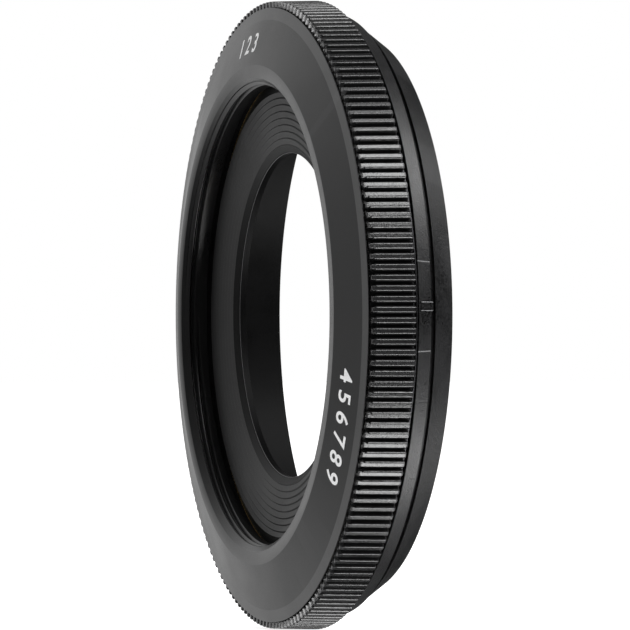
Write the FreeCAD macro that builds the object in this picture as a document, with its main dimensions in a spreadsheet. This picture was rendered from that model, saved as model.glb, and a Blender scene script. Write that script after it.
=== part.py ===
# Outer unit of a pancake lens: an open ring with a ribbed control ring that turns without stops.
# Millimetres. The lens axis is Y, the front faces -Y, and the origin is the centre of the rear seat.
import FreeCAD, Part
import math
import os

import Sketcher
from FreeCAD import Placement, Rotation, Vector

# Stack along the axis, from the front face to the rear seat
plate_depth = 1.95
slide_gap = 0.20
grip_width = 4.95
spring_gap = 0.48
index_width = 1.67
groove_width = 0.75
tail_width = 2.80

# Control ring, from the journal outwards to the crest of its ribs
running_gap = 0.05
carrier_wall = 1.35
grip_wall = 1.55
rib_depth = 0.55
rib_count = 188
rib_gap = 0.46
rib_taper = 0.10
nose_length = 0.28
tail_bevel = 0.22
bond_gap = 0.02
end_float = 0.03

# Front ring: the filter thread is a 52 mm one with a pitch of 0.75, plain at its crest
thread_crest = 25.60
thread_entry = 0.70
thread_length = 2.10
entry_chamfer = 0.78
land_width = 1.43
bevel_drop = 1.57
band_setback = 0.80
band_width = 1.37
band_drop = 0.25
relief_depth = 1.00
skirt_wall = 1.85
skirt_play = 0.10
skirt_lap = 0.78
seal_offset = 0.80
seal_section = 0.30
shim_wall = 0.10

# Ridged baffle and the flare ring in its lip
disc_play = 0.77
disc_gap = 0.22
disc_width = 5.96
disc_rise = 0.69
ridge_count = 8
ridge_height = 0.13
ridge_flank = 0.8
lip_width = 0.77
lip_depth = 0.56
flare_step = 0.02
flare_land = 0.88
flare_depth = 0.78
boss_wall = 0.80
flange_play = 0.20
flange_wall = 0.60

# Fixed barrel
pocket_wall = 2.45
register_wall = 2.10
register_ledge = 0.45
register_depth = 4.10
journal_offset = 0.25
web_width = 3.90
web_wall = 1.50
shoulder_height = 0.75
tail_height = 1.30
rim_width = 1.50
tail_chamfer = 0.20
tail_edge = 0.60
slide_wall = 0.30
slide_margin = 0.55
slide_split = 1.2

# Encoder comb in the carrier's rear face
comb_offset = 0.35
comb_wall = 0.30
comb_root = 0.50
comb_reach = 1.22
comb_back = 0.30
comb_play = 0.02
slot_count = 90
slot_width = 1.10

# Index ring with its raised bar and two scribed lines
index_setback = 0.73
index_taper = 0.77
index_wall = 1.17
sensor_gap = 0.10
bar_width = 1.05
bar_proud = 0.12
bar_sunk = 0.28
bar_start = 0.28
bar_overhang = 0.26
bar_angle = 1.6
scribe_width = 0.10
scribe_depth = 0.09
scribe_angle = 8.3

# Slide washer and wave spring
washer_inset = 0.30
washer_setback = 0.70
spring_inset = 0.10
spring_width = 0.80
spring_strip = 0.12
wave_count = 5

# Optical sensors, flex, stiffener and contact pads
sensor_angle = 270
sensor_spread = 7.5
sensor_width = 4.0
sensor_wall = 0.30
arm_play = 0.35
slot_play = 0.20
window_play = 0.10
flex_sink = 0.90
flex_wall = 0.13
flex_end_arc = 4.5
flex_tail_arc = 4
flex_gap_arc = 1
flex_margin = 0.20
stiffener_wall = 0.65
pad_count = 6
pad_width = 0.5
pad_pitch = 1.35
pad_wall = 0.05
pad_length = 1.1

# Screws
front_screw_count = 4
front_screw_angle = 45
tapped_radius = 0.55
shank_play = 0.02
tapped_depth = 1.40
tap_end_gap = 0.20
clearance_radius = 0.80
head_radius = 1.20
head_height = 0.60
cross_width = 0.28
cross_depth = 0.35
unit_hole_count = 3
unit_hole_angle = 90
unit_hole_radius = 0.65
rivet_offset = 5
rivet_radius = 0.38
rivet_head = 0.75
rivet_head_depth = 0.18
rivet_reach = 1.00

# Every size named above goes into the sheet under its own name
sizes = {name: number for name, number in globals().items() if isinstance(number, (int, float))}
os.makedirs("parts", exist_ok=True)
doc = FreeCAD.newDocument("pancake_lens")
sheet = doc.addObject("Spreadsheet::Sheet", "dims")
sheet.Label = "dims"
for row, (name, number) in enumerate(sizes.items(), start=1):
    sheet.set(f"A{row}", name.replace("_", " "))
    sheet.set(f"B{row}", str(number))
    sheet.setAlias(f"B{row}", name)
reader = doc.addObject("App::FeaturePython", "reader")
reader.addProperty("App::PropertyFloat", "number")
doc.recompute()


def value(expression):
    """The number that an expression on the sheet gives."""
    reader.setExpression("number", str(expression))
    reader.recompute()
    return float(reader.number)


def size(alias):
    return f"dims.{alias}"


# Stations along the axis, worked out from the rear seat at 0 towards the front
TAIL_FRONT = "-dims.tail_width"
INDEX_REAR = f"({TAIL_FRONT} - dims.groove_width)"
INDEX_FRONT = f"({INDEX_REAR} - dims.index_width)"
GRIP_REAR = f"({INDEX_FRONT} - dims.spring_gap)"
GRIP_FRONT = f"({GRIP_REAR} - dims.grip_width)"
PLATE_REAR = f"({GRIP_FRONT} - dims.slide_gap)"
FRONT = f"({PLATE_REAR} - dims.plate_depth)"
BEVEL_EDGE = f"({FRONT} + dims.bevel_drop)"
BAND_EDGE = f"({BEVEL_EDGE} + dims.band_drop)"
THREAD_FRONT = f"({FRONT} + dims.thread_entry)"
THREAD_REAR = f"({THREAD_FRONT} + dims.thread_length)"
DISC_FRONT = f"({THREAD_REAR} + dims.disc_gap)"
DISC_REAR = f"({DISC_FRONT} + dims.disc_rise)"
LIP_REAR = f"({DISC_REAR} + dims.lip_depth)"
FLARE_REAR = f"({LIP_REAR} + dims.flare_depth)"
SKIRT_REAR = f"({DISC_FRONT} + dims.skirt_lap)"
SEAL_FRONT = f"({PLATE_REAR} + dims.seal_offset)"
SEAL_REAR = f"({SEAL_FRONT} + 2 * dims.seal_section)"
FLANGE_FRONT = f"({SKIRT_REAR} + dims.shim_wall)"
FLANGE_REAR = f"({FLANGE_FRONT} + dims.flange_wall)"
WEB_REAR = f"({FLANGE_REAR} + dims.web_wall)"
JOURNAL_FRONT = f"({PLATE_REAR} + dims.journal_offset)"
SLIDE_FRONT = f"({JOURNAL_FRONT} + dims.slide_margin)"
SLIDE_REAR = f"({GRIP_REAR} - dims.slide_margin)"
REGISTER_FRONT = "-dims.register_depth"
COMB_TIP = f"({GRIP_REAR} + dims.comb_reach)"
SENSOR_FRONT = f"({GRIP_REAR} + dims.comb_back - dims.window_play)"
SENSOR_SLOT = f"({COMB_TIP} + dims.slot_play)"
SENSOR_REAR = f"({SENSOR_SLOT} + dims.sensor_wall)"
WINDOW_REAR = f"({SENSOR_REAR} + dims.window_play)"
CAVITY_REAR = f"({SENSOR_REAR} + dims.sensor_gap)"
FLEX_FRONT = f"({WEB_REAR} + dims.flex_margin)"
STIFFENER_REAR = f"({REGISTER_FRONT} - dims.flex_margin)"
RIVET_STATION = f"(({FLEX_FRONT} + {STIFFENER_REAR}) / 2)"
RIVET_ARC = "(dims.sensor_spread + dims.rivet_offset)"
FLEX_ARC = f"({RIVET_ARC} + dims.flex_end_arc)"

# Radii, worked out from the filter thread: outwards to the ribs and inwards to the open bore
RELIEF = "(dims.thread_crest + dims.relief_depth)"
SEAL_FLOOR = f"({RELIEF} + dims.skirt_wall)"
POCKET = f"({SEAL_FLOOR} + 2 * dims.seal_section)"
JOURNAL = f"({POCKET} + dims.pocket_wall)"
CARRIER_BORE = f"({JOURNAL} + dims.running_gap)"
CARRIER = f"({CARRIER_BORE} + dims.carrier_wall)"
VALLEY = f"({CARRIER} + dims.grip_wall)"
CREST = f"({VALLEY} + dims.rib_depth)"
SLIDE_FLOOR = f"({JOURNAL} - dims.slide_wall)"
REGISTER = f"({JOURNAL} - dims.register_wall)"
INNER_BORE = f"({REGISTER} - dims.register_ledge)"
WEB_INNER = f"({INNER_BORE} - dims.web_width)"
SHOULDER = f"({JOURNAL} + dims.shoulder_height)"
TAIL_OUTER = f"({JOURNAL} + dims.tail_height)"
RIM = f"({REGISTER} + dims.rim_width)"
SKIRT = f"({POCKET} - dims.skirt_play)"
BAND = f"({CREST} - dims.band_setback)"
BEVEL = f"({BAND} - dims.band_width)"
LAND_BORE = "(dims.thread_crest + dims.entry_chamfer)"
LAND = f"({LAND_BORE} + dims.land_width)"
DISC = "(dims.thread_crest - dims.disc_play)"
DISC_INNER = f"({DISC} - dims.disc_width)"
LIP = f"({DISC_INNER} - dims.lip_width)"
FLARE = f"({LIP} + dims.flare_step)"
FLARE_SEAT = f"({LIP} + dims.flare_land)"
BOSS = f"({FLARE_SEAT} + dims.boss_wall)"
FLANGE = f"({POCKET} - dims.flange_play)"
INDEX_OUTER = f"({CREST} - dims.index_setback)"
INDEX_OUTER_REAR = f"({INDEX_OUTER} - dims.index_taper)"
CAVITY = f"({INDEX_OUTER} - dims.index_wall)"
INDEX_SEAT = f"({JOURNAL} + dims.bond_gap)"
COMB_INNER = f"({JOURNAL} + dims.comb_offset)"
COMB_OUTER = f"({COMB_INNER} + dims.comb_wall)"
SENSOR_ARM = f"({CAVITY} - dims.arm_play)"
FLEX_OUTER = f"({INNER_BORE} + dims.flex_sink)"
FLEX_INNER = f"({FLEX_OUTER} - dims.flex_wall)"
STIFFENER_INNER = f"({FLEX_INNER} - dims.stiffener_wall)"
FRONT_SCREW_CIRCLE = f"(({RELIEF} + {SEAL_FLOOR}) / 2)"
UNIT_HOLE_CIRCLE = f"(({INNER_BORE} + {WEB_INNER}) / 2)"


# Helpers for bodies, sketches and placed tools
def check_cut(label, before, after, least=0.001):
    """Stop if a cut took away no volume worth the name."""
    if after > before - least:
        raise RuntimeError(f"{label} cuts nothing")


def add_body(label):
    body = doc.addObject("PartDesign::Body", label)
    body.Label = label
    return body


def origin_item(body, role):
    return next(item for item in body.Origin.OriginFeatures if item.Role == role)


def outline(body, name, corners):
    """Closed outline in the body's XY plane; each corner is a radius and a station."""
    sketch = body.newObject("Sketcher::SketchObject", name)
    sketch.AttachmentSupport = [(origin_item(body, "XY_Plane"), "")]
    sketch.MapMode = "FlatFace"
    points = [Vector(value(radius), value(station), 0) for radius, station in corners]
    count = len(points)
    for index in range(count):
        sketch.addGeometry(Part.LineSegment(points[index], points[(index + 1) % count]), False)
    for index in range(count):
        sketch.addConstraint(Sketcher.Constraint("Coincident", index, 2, (index + 1) % count, 1))
    for index, corner in enumerate(corners):
        for kind, word, expression in zip(("DistanceX", "DistanceY"), ("radius", "station"), corner):
            fixed = Sketcher.Constraint(kind, -1, 1, index, 1, value(expression))
            place = sketch.addConstraint(fixed)
            sketch.renameConstraint(place, f"{word}{index}")
            sketch.setExpression(f"Constraints.{word}{index}", str(expression))
    return sketch


def turned(label, corners, sweep=360, angle=0.0):
    """A ring, or a sector of one, turned about the lens axis and centred on an angle."""
    body = add_body(label)
    sketch = outline(body, f"{label}_outline", corners)
    turn = body.newObject("PartDesign::Revolution", f"{label}_turn")
    turn.Profile = sketch
    turn.ReferenceAxis = (sketch, ["V_Axis"])
    turn.Midplane = True
    turn.setExpression("Angle", str(sweep))
    body.Placement = Placement(Vector(0, 0, 0), Rotation(Vector(0, 1, 0), -angle))
    doc.recompute()
    return body


def cut_all_round(body, name, sketch, depth, count):
    """Pocket a cross sketch towards the front and repeat it evenly about the lens axis."""
    before = body.Shape.Volume
    pocket = body.newObject("PartDesign::Pocket", f"{name}_cut")
    pocket.Profile = sketch
    pocket.Reversed = True
    if depth is None:
        pocket.Type = "ThroughAll"
    else:
        pocket.setExpression("Length", depth)
    doc.recompute()
    check_cut(name, before, pocket.Shape.Volume)
    pattern = body.newObject("PartDesign::PolarPattern", f"{name}_around")
    pattern.Originals = [pocket]
    pattern.Axis = (origin_item(body, "Y_Axis"), [""])
    pattern.Angle = 360
    pattern.setExpression("Occurrences", count)
    body.Tip = pattern
    doc.recompute()


def cross_plane(body, name, station):
    """An empty sketch square to the lens axis at a station."""
    sketch = body.newObject("Sketcher::SketchObject", name)
    sketch.AttachmentSupport = [(origin_item(body, "XZ_Plane"), "")]
    sketch.MapMode = "FlatFace"
    sketch.setExpression("AttachmentOffset.Base.z", f"-({station})")
    return sketch


def drill(body, name, radius, circle, first_angle, station, depth, count):
    """Axial holes on a circle, drilled from a station towards the front."""
    sketch = cross_plane(body, f"{name}_hole", station)
    across = f"{circle} * cos({first_angle})"
    along = f"{circle} * sin({first_angle})"
    centre = Vector(value(across), value(along), 0)
    sketch.addGeometry(Part.Circle(centre, Vector(0, 0, 1), value(radius)), False)
    for kind, word, expression in (("DistanceX", "across", across), ("DistanceY", "along", along)):
        place = sketch.addConstraint(Sketcher.Constraint(kind, -1, 1, 0, 3, value(expression)))
        sketch.renameConstraint(place, word)
        sketch.setExpression(f"Constraints.{word}", expression)
    place = sketch.addConstraint(Sketcher.Constraint("Radius", 0, value(radius)))
    sketch.renameConstraint(place, "hole")
    sketch.setExpression("Constraints.hole", radius)
    cut_all_round(body, name, sketch, depth, count)


def notch(body, name, inner, outer, width, station, depth, count):
    """Radial slots of one width, open outwards, repeated about the lens axis."""
    sketch = cross_plane(body, f"{name}_section", station)
    low, high, half = value(inner), value(outer), value(width) / 2
    corners = [Vector(low, -half, 0), Vector(high, -half, 0), Vector(high, half, 0), Vector(low, half, 0)]
    for index in range(4):
        sketch.addGeometry(Part.LineSegment(corners[index], corners[(index + 1) % 4]), False)
    for index in range(4):
        sketch.addConstraint(Sketcher.Constraint("Coincident", index, 2, (index + 1) % 4, 1))
    for index, (reach, side) in enumerate(((inner, -1), (outer, -1), (outer, 1), (inner, 1))):
        for kind, word, expression in (
                ("DistanceX", "reach", str(reach)), ("DistanceY", "side", f"{side} * {width} / 2")):
            place = sketch.addConstraint(Sketcher.Constraint(kind, -1, 1, index, 1, value(expression)))
            sketch.renameConstraint(place, f"{word}{index}")
            sketch.setExpression(f"Constraints.{word}{index}", expression)
    cut_all_round(body, name, sketch, depth, count)


def radial_block(label, inner, outer, width, front, rear, angle):
    """A box that points outwards at an angle, between two radii and two stations."""
    block = doc.addObject("Part::Box", label)
    block.Label = label
    block.setExpression("Length", str(width))
    block.setExpression("Width", f"{rear} - {front}")
    block.setExpression("Height", f"{outer} - {inner}")
    turn = Rotation(Vector(0, 1, 0), 90 - angle)
    corner = Vector(-value(width) / 2, value(front), value(inner))
    block.Placement = Placement(turn.multVec(corner), turn)
    return block


def radial_pin(label, radius, inner, outer, station, angle):
    """A round bar that points outwards at an angle, between two radii."""
    pin = doc.addObject("Part::Cylinder", label)
    pin.Label = label
    pin.setExpression("Radius", str(radius))
    pin.setExpression("Height", f"{outer} - {inner}")
    turn = Rotation(Vector(0, 1, 0), 90 - angle)
    pin.Placement = Placement(turn.multVec(Vector(0, value(station), value(inner))), turn)
    return pin


def compound(label, pieces):
    group = doc.addObject("Part::Compound", label)
    group.Label = label
    group.Links = pieces
    return group


def cut(label, base, tools):
    """A base with every tool taken away in one boolean."""
    result = doc.addObject("Part::Cut", label)
    result.Label = label
    result.Base = base
    result.Tool = tools[0] if len(tools) == 1 else compound(f"{label}_tools", tools)
    doc.recompute()
    check_cut(label, base.Shape.Volume, result.Shape.Volume)
    return result


def fuse(label, pieces):
    result = doc.addObject("Part::MultiFuse", label)
    result.Label = label
    result.Shapes = pieces
    doc.recompute()
    return result


# Front ring: flat land, lettering bevel, narrow edge band and the female filter thread at its crest
def front_ring():
    crest = size("thread_crest")
    ring = turned("name_ring", (
        (LAND_BORE, FRONT), (LAND, FRONT), (BEVEL, BEVEL_EDGE), (BAND, BAND_EDGE), (BAND, PLATE_REAR),
        (SKIRT, PLATE_REAR), (SKIRT, SEAL_FRONT), (SEAL_FLOOR, SEAL_FRONT), (SEAL_FLOOR, SEAL_REAR),
        (SKIRT, SEAL_REAR), (SKIRT, SKIRT_REAR), (RELIEF, SKIRT_REAR), (RELIEF, THREAD_REAR),
        (crest, THREAD_REAR), (crest, THREAD_FRONT)))
    drill(ring, "tapped", size("tapped_radius"), FRONT_SCREW_CIRCLE, size("front_screw_angle"),
          SKIRT_REAR, size("tapped_depth"), size("front_screw_count"))
    return ring


def washer(label, inner, outer, front, rear):
    return turned(label, ((inner, front), (outer, front), (outer, rear), (inner, rear)))


def axis_shim():
    """Thin washer that sets the play of the control ring, with holes for the front screws."""
    shim = washer("play_shim", RELIEF, FLANGE, SKIRT_REAR, FLANGE_FRONT)
    drill(shim, "clear", size("clearance_radius"), FRONT_SCREW_CIRCLE, size("front_screw_angle"),
          FLANGE_FRONT, None, size("front_screw_count"))
    return shim


def front_seal():
    """Round rubber ring in the groove of the front ring's skirt."""
    seal = doc.addObject("Part::Torus", "front_seal")
    seal.Label = "front_seal"
    seal.setExpression("Radius1", f"{POCKET} - dims.seal_section")
    seal.setExpression("Radius2", size("seal_section"))
    station = value(f"({SEAL_FRONT} + {SEAL_REAR}) / 2")
    seal.Placement = Placement(Vector(0, station, 0), Rotation(Vector(1, 0, 0), 90))
    return seal


# Ridged baffle: a shallow dish with concentric steps and a lip around the open bore
def baffle_plate():
    ridges = int(value("dims.ridge_count"))
    corners = [(FLANGE, FLANGE_REAR), (FLANGE, FLANGE_FRONT), (DISC, FLANGE_FRONT)]
    for ridge in range(ridges):
        crest = (f"({DISC} - dims.disc_width * {ridge} / {ridges})",
                 f"({DISC_FRONT} + dims.disc_rise * {ridge} / {ridges})")
        foot = (f"({DISC} - dims.disc_width * ({ridge} + dims.ridge_flank) / {ridges})",
                f"({DISC_FRONT} + dims.disc_rise * {ridge + 1} / {ridges} + dims.ridge_height)")
        corners += [crest, foot]
    corners += [(DISC_INNER, DISC_REAR), (LIP, LIP_REAR), (FLARE_SEAT, LIP_REAR),
                (FLARE_SEAT, FLARE_REAR), (BOSS, FLARE_REAR), (BOSS, FLANGE_REAR)]
    plate = turned("baffle_plate", corners)
    drill(plate, "clear", size("clearance_radius"), FRONT_SCREW_CIRCLE, size("front_screw_angle"),
          FLANGE_REAR, None, size("front_screw_count"))
    return plate


def flare_ring():
    """Small ring pressed into the back of the lip, which carries the bore on past a fine seam."""
    outer = f"({FLARE_SEAT} - dims.bond_gap)"
    return turned("flare_ring", (
        (LIP, LIP_REAR), (outer, LIP_REAR), (outer, FLARE_REAR), (FLARE, FLARE_REAR)))


# Fixed barrel: journal, inner web, sensor windows, flex channel, rear seat and tail cone
def fixed_barrel():
    blank = turned("rear_barrel_blank", (
        (POCKET, JOURNAL_FRONT), (JOURNAL, JOURNAL_FRONT), (JOURNAL, SLIDE_FRONT), (SLIDE_FLOOR, SLIDE_FRONT),
        (SLIDE_FLOOR, SLIDE_REAR), (JOURNAL, SLIDE_REAR), (JOURNAL, INDEX_REAR), (SHOULDER, INDEX_REAR),
        (SHOULDER, TAIL_FRONT), (TAIL_OUTER, TAIL_FRONT), (RIM, "-dims.tail_chamfer"),
        (f"({RIM} - dims.tail_edge)", "0"), (REGISTER, "0"), (REGISTER, REGISTER_FRONT),
        (INNER_BORE, REGISTER_FRONT), (INNER_BORE, WEB_REAR), (WEB_INNER, WEB_REAR),
        (WEB_INNER, FLANGE_REAR), (POCKET, FLANGE_REAR)))
    drill(blank, "clear", size("clearance_radius"), FRONT_SCREW_CIRCLE, size("front_screw_angle"),
          WEB_REAR, None, size("front_screw_count"))
    drill(blank, "unit", size("unit_hole_radius"), UNIT_HOLE_CIRCLE, size("unit_hole_angle"),
          WEB_REAR, None, size("unit_hole_count"))
    centre = value(size("sensor_angle"))
    pocket = turned("flex_pocket", (
        (WEB_INNER, FLEX_FRONT), (FLEX_OUTER, FLEX_FRONT),
        (FLEX_OUTER, WINDOW_REAR), (WEB_INNER, WINDOW_REAR)),
        f"2 * {FLEX_ARC} + 2 * dims.flex_gap_arc", centre)
    channel = turned("flex_channel", (
        (WEB_INNER, STIFFENER_REAR), (FLEX_OUTER, STIFFENER_REAR), (FLEX_OUTER, "1"), (WEB_INNER, "1")),
        "2 * dims.flex_tail_arc + dims.flex_gap_arc", centre)
    tools = [pocket, channel]
    for name, angle in sensor_angles():
        tools.append(radial_block(
            f"window_{name}", FLEX_INNER, f"({JOURNAL} + 1)", "dims.sensor_width + 2 * dims.window_play",
            f"({SENSOR_FRONT} - dims.window_play)", WINDOW_REAR, angle))
    for name, angle in rivet_angles():
        tools.append(radial_pin(
            f"rivet_hole_{name}", "dims.rivet_radius + dims.shank_play", STIFFENER_INNER,
            f"({FLEX_OUTER} + dims.rivet_reach + dims.tap_end_gap)", RIVET_STATION, angle))
    return cut("rear_barrel", blank, tools)


def sensor_angles():
    centre, spread = value(size("sensor_angle")), value(size("sensor_spread"))
    return (("a", centre - spread), ("b", centre + spread))


def rivet_angles():
    centre, spread = value(size("sensor_angle")), value(RIVET_ARC)
    return (("a", centre - spread), ("b", centre + spread))


def slide_band():
    """Split low-friction band in the journal's groove, level with the journal."""
    return turned("slide_band", (
        (SLIDE_FLOOR, SLIDE_FRONT), (JOURNAL, SLIDE_FRONT), (JOURNAL, SLIDE_REAR), (SLIDE_FLOOR, SLIDE_REAR)),
        "360 - dims.slide_split", 90)


# Control ring: ribbed grip bonded on a carrier that runs on the journal and carries the comb
def grip_ring():
    ring = turned("grip_ring", (
        (CARRIER, GRIP_FRONT), (VALLEY, GRIP_FRONT),
        (f"{CREST} - dims.rib_taper", f"{GRIP_FRONT} + dims.nose_length"),
        (CREST, f"{GRIP_REAR} - dims.tail_bevel"), (f"{CREST} - dims.tail_bevel", GRIP_REAR),
        (CARRIER, GRIP_REAR)))
    notch(ring, "valley", VALLEY, f"{CREST} + 1", size("rib_gap"), GRIP_REAR, None, size("rib_count"))
    return ring


def ring_carrier():
    outer = f"({CARRIER} - dims.bond_gap)"
    groove_floor = f"({GRIP_REAR} - dims.comb_root)"
    groove_outer = f"({COMB_OUTER} + dims.comb_play)"
    groove_inner = f"({COMB_INNER} - dims.comb_play)"
    return turned("ring_carrier", (
        (CARRIER_BORE, GRIP_FRONT), (outer, GRIP_FRONT), (outer, GRIP_REAR), (groove_outer, GRIP_REAR),
        (groove_outer, groove_floor), (groove_inner, groove_floor), (groove_inner, GRIP_REAR),
        (CARRIER_BORE, GRIP_REAR)))


def encoder_comb():
    """Thin sleeve in the carrier's rear groove, slotted from its tip for the optical sensors."""
    front = f"({GRIP_REAR} - dims.comb_root + dims.comb_play)"
    comb = turned("encoder_comb", (
        (COMB_INNER, front), (COMB_OUTER, front), (COMB_OUTER, COMB_TIP), (COMB_INNER, COMB_TIP)))
    inside, outside = f"({COMB_INNER} - dims.comb_wall)", f"({COMB_OUTER} + dims.comb_wall)"
    notch(comb, "slot", inside, outside, size("slot_width"), COMB_TIP,
          "dims.comb_reach - dims.comb_back", size("slot_count"))
    return comb


def slide_washer():
    return washer("slide_washer", f"({JOURNAL} + dims.washer_inset)", f"({BAND} - dims.washer_setback)",
                  PLATE_REAR, f"({GRIP_FRONT} - dims.end_float)")


def wave_spring():
    """Flat strip bent into even waves, which presses the control ring forwards."""
    waves = int(value(size("wave_count")))
    strip = value(size("spring_strip"))
    low = value(f"{GRIP_REAR} + dims.end_float")
    swing = (value(f"{INDEX_FRONT} - dims.end_float") - low - strip) / 2
    steps = waves * 8

    def wave(radius):
        points = []
        for step in range(steps):
            turn = 2 * math.pi * step / steps
            height = low + swing * (1 + math.cos(waves * turn))
            points.append(Vector(radius * math.cos(turn), height, radius * math.sin(turn)))
        curve = Part.BSplineCurve()
        curve.interpolate(Points=points, PeriodicFlag=True)
        return curve.toShape()

    inner = value(f"{CAVITY} + dims.spring_inset")
    strip_face = Part.makeRuledSurface(wave(inner), wave(inner + value(size("spring_width"))))
    spring = doc.addObject("Part::Feature", "wave_spring")
    spring.Label = "wave_spring"
    spring.Shape = strip_face.extrude(Vector(0, strip, 0))
    return spring


# Index ring with its raised index bar and two scribed lines
def cone_shell(label, rise_inner, rise_outer, front, rear):
    """A thin ring that follows the index ring's cone between two offsets from it."""
    def radius(station, rise):
        return f"{INDEX_OUTER} - dims.index_taper * (({station}) - {INDEX_FRONT}) / dims.index_width + {rise}"
    return turned(label, (
        (radius(front, rise_inner), front), (radius(front, rise_outer), front),
        (radius(rear, rise_outer), rear), (radius(rear, rise_inner), rear)))


def common(label, base, tool):
    result = doc.addObject("Part::Common", label)
    result.Label = label
    result.Base = base
    result.Tool = tool
    doc.recompute()
    return result


def index_bar(label):
    start = f"({INDEX_FRONT} + dims.bar_start)"
    end = f"({INDEX_REAR} + dims.bar_overhang)"
    shell = cone_shell(f"{label}_shell", "(-dims.bar_sunk)", size("bar_proud"), start, end)
    block = radial_block(f"{label}_block", JOURNAL, f"({INDEX_OUTER} + 1)", size("bar_width"), start, end,
                         value(size("bar_angle")))
    return common(label, shell, block)


def index_ring():
    blank = turned("index_ring_blank", (
        (CAVITY, INDEX_FRONT), (INDEX_OUTER, INDEX_FRONT), (INDEX_OUTER_REAR, INDEX_REAR),
        (INDEX_SEAT, INDEX_REAR), (INDEX_SEAT, CAVITY_REAR), (CAVITY, CAVITY_REAR)))
    tools = [index_bar("index_bar_seat")]
    skin = cone_shell("scribe_shell", "(-dims.scribe_depth)", "0.5", f"({INDEX_FRONT} - 0.01)",
                      f"({INDEX_REAR} + 0.01)")
    for side, name in ((-1, "lower"), (1, "upper")):
        angle = value(f"dims.bar_angle + {side} * dims.scribe_angle")
        line = radial_block(f"scribe_block_{name}", JOURNAL, f"({INDEX_OUTER} + 1)", size("scribe_width"),
                            f"({INDEX_FRONT} - 0.01)", f"({INDEX_REAR} + 0.01)", angle)
        tools.append(common(f"scribe_{name}", skin, line))
    return cut("index_ring", blank, tools)


# Optical sensors: two forked couplers through the journal, on a flex with its stiffener
def photo_interrupter(name, angle):
    label = f"photo_interrupter_{name}"
    body = radial_block(f"{label}_body", FLEX_OUTER, SENSOR_ARM, size("sensor_width"),
                        SENSOR_FRONT, SENSOR_REAR, angle)
    inside, outside = f"({COMB_INNER} - dims.slot_play)", f"({COMB_OUTER} + dims.slot_play)"
    slot = radial_block(f"{label}_slot", inside, outside, "dims.sensor_width + 1",
                        f"({SENSOR_FRONT} - 1)", SENSOR_SLOT, angle)
    doc.recompute()
    return cut(label, body, [slot])


def sensor_flex():
    centre = value(size("sensor_angle"))
    arc = turned("flex_arc", (
        (FLEX_INNER, FLEX_FRONT), (FLEX_OUTER, FLEX_FRONT),
        (FLEX_OUTER, SENSOR_REAR), (FLEX_INNER, SENSOR_REAR)),
        f"2 * {FLEX_ARC}", centre)
    tail = turned("flex_tail", (
        (FLEX_INNER, SENSOR_REAR), (FLEX_OUTER, SENSOR_REAR),
        (FLEX_OUTER, "-dims.flex_margin"), (FLEX_INNER, "-dims.flex_margin")),
        "2 * dims.flex_tail_arc", centre)
    whole = fuse("flex_whole", [arc, tail])
    holes = [radial_pin(f"flex_hole_{name}", "dims.rivet_radius + dims.shank_play", STIFFENER_INNER,
                        f"({FLEX_OUTER} + 1)", RIVET_STATION, angle) for name, angle in rivet_angles()]
    doc.recompute()
    return cut("sensor_flex", whole, holes)


def flex_stiffener():
    blank = turned("flex_stiffener_blank", (
        (STIFFENER_INNER, FLEX_FRONT), (FLEX_INNER, FLEX_FRONT),
        (FLEX_INNER, STIFFENER_REAR), (STIFFENER_INNER, STIFFENER_REAR)),
        f"2 * {FLEX_ARC}", value(size("sensor_angle")))
    holes = []
    for name, angle in rivet_angles():
        holes.append(radial_pin(f"stiffener_hole_{name}", "dims.rivet_radius + dims.shank_play",
                                f"({STIFFENER_INNER} - 1)", f"({FLEX_OUTER} + 1)", RIVET_STATION, angle))
        holes.append(radial_pin(f"stiffener_sink_{name}", "dims.rivet_head + dims.shank_play",
                                f"({STIFFENER_INNER} - 1)", f"({STIFFENER_INNER} + dims.rivet_head_depth)",
                                RIVET_STATION, angle))
    doc.recompute()
    return cut("flex_stiffener", blank, holes)


def stiffener_screws():
    screws = []
    for name, angle in rivet_angles():
        shank = radial_pin(f"stiffener_shank_{name}", size("rivet_radius"),
                           f"({STIFFENER_INNER} + dims.rivet_head_depth / 2)",
                           f"({FLEX_OUTER} + dims.rivet_reach)", RIVET_STATION, angle)
        head = radial_pin(f"stiffener_head_{name}", size("rivet_head"), STIFFENER_INNER,
                          f"({STIFFENER_INNER} + dims.rivet_head_depth)", RIVET_STATION, angle)
        screws.append(fuse(f"stiffener_screw_{name}", [shank, head]))
    return compound("stiffener_screws", screws)


def flex_contacts():
    """Gold pads on the inner face of the flex tail, the electrical end of the unit."""
    count = int(value(size("pad_count")))
    pads = []
    for index in range(count):
        angle = value(f"dims.sensor_angle + ({index} - ({count} - 1) / 2) * dims.pad_pitch")
        rear = "(-2 * dims.flex_margin)"
        pads.append(radial_block(f"flex_pad_{index + 1}", f"({FLEX_INNER} - dims.pad_wall)",
                                 f"({FLEX_INNER} - dims.pad_wall / 10)", size("pad_width"),
                                 f"({rear} - dims.pad_length)", rear, angle))
    return compound("flex_contacts", pads)


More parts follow.
